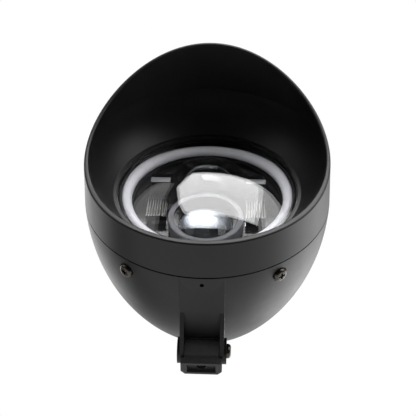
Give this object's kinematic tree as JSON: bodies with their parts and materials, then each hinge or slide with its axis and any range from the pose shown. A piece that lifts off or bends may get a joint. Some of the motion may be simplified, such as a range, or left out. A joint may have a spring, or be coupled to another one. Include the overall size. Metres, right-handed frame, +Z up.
{
  "type": "motorcycle headlight",
  "caption": "Bullet shaped motorcycle headlight with a hooded front ring, halo and stacked projector lenses behind a clear cover, on a leg that tilts on a mount block.",
  "frame": {"origin": "mouth of the tapped hole in the floor of the mount block's slot", "axes": "+Z up, the lamp faces -Y, +X to the right of someone who looks at the lens"},
  "size_m": [0.184, 0.2193, 0.2062],
  "materials": {
    "satin_black_paint": "satin black powder coat",
    "black_rubber": "matte moulded rubber",
    "zinc_steel": "zinc plated steel",
    "clear_cover": "clear polycarbonate",
    "milky_acrylic": "milky light guide",
    "circuit_board": "white coated circuit board",
    "gloss_black": "gloss black moulding",
    "optic_glass": "polished lens",
    "satin_silver": "satin metallised plastic",
    "mirror_cup": "metallised reflector",
    "dark_housing": "moulded housing",
    "bare_aluminium": "die cast aluminium"
  },
  "bodies": {
    "mount": {"mount_block": "satin_black_paint"},
    "lamp": {"bucket": "satin_black_paint", "visor_ring": "satin_black_paint", "seam_gasket": "black_rubber", "visor_screws": "zinc_steel", "lens_cover": "clear_cover", "lens_gasket": "black_rubber", "halo_light_guide": "milky_acrylic", "halo_led_board": "circuit_board", "inner_bezel": "gloss_black", "low_beam_lens": "optic_glass", "high_beam_lens": "optic_glass", "low_beam_holder": "satin_silver", "high_beam_holder": "satin_silver", "low_beam_reflector": "mirror_cup", "high_beam_reflector": "mirror_cup", "low_beam_led_board": "circuit_board", "high_beam_led_board": "circuit_board", "left_side_optic": "optic_glass", "right_side_optic": "optic_glass", "left_side_reflector": "mirror_cup", "right_side_reflector": "mirror_cup", "insert_housing": "dark_housing", "driver_board": "circuit_board", "heat_sink": "bare_aluminium", "retaining_ring": "zinc_steel", "retaining_screws": "zinc_steel", "wire_grommet": "black_rubber", "pivot_bolt": "zinc_steel", "pivot_nut": "zinc_steel"}
  },
  "joints": [
    {"name": "aim_tilt", "type": "hinge", "parent": "mount", "child": "lamp", "pos_m": [0, -0.0024, 0.0125], "axis": [1, 0, 0], "range_deg": [-15, 15]}
  ]
}
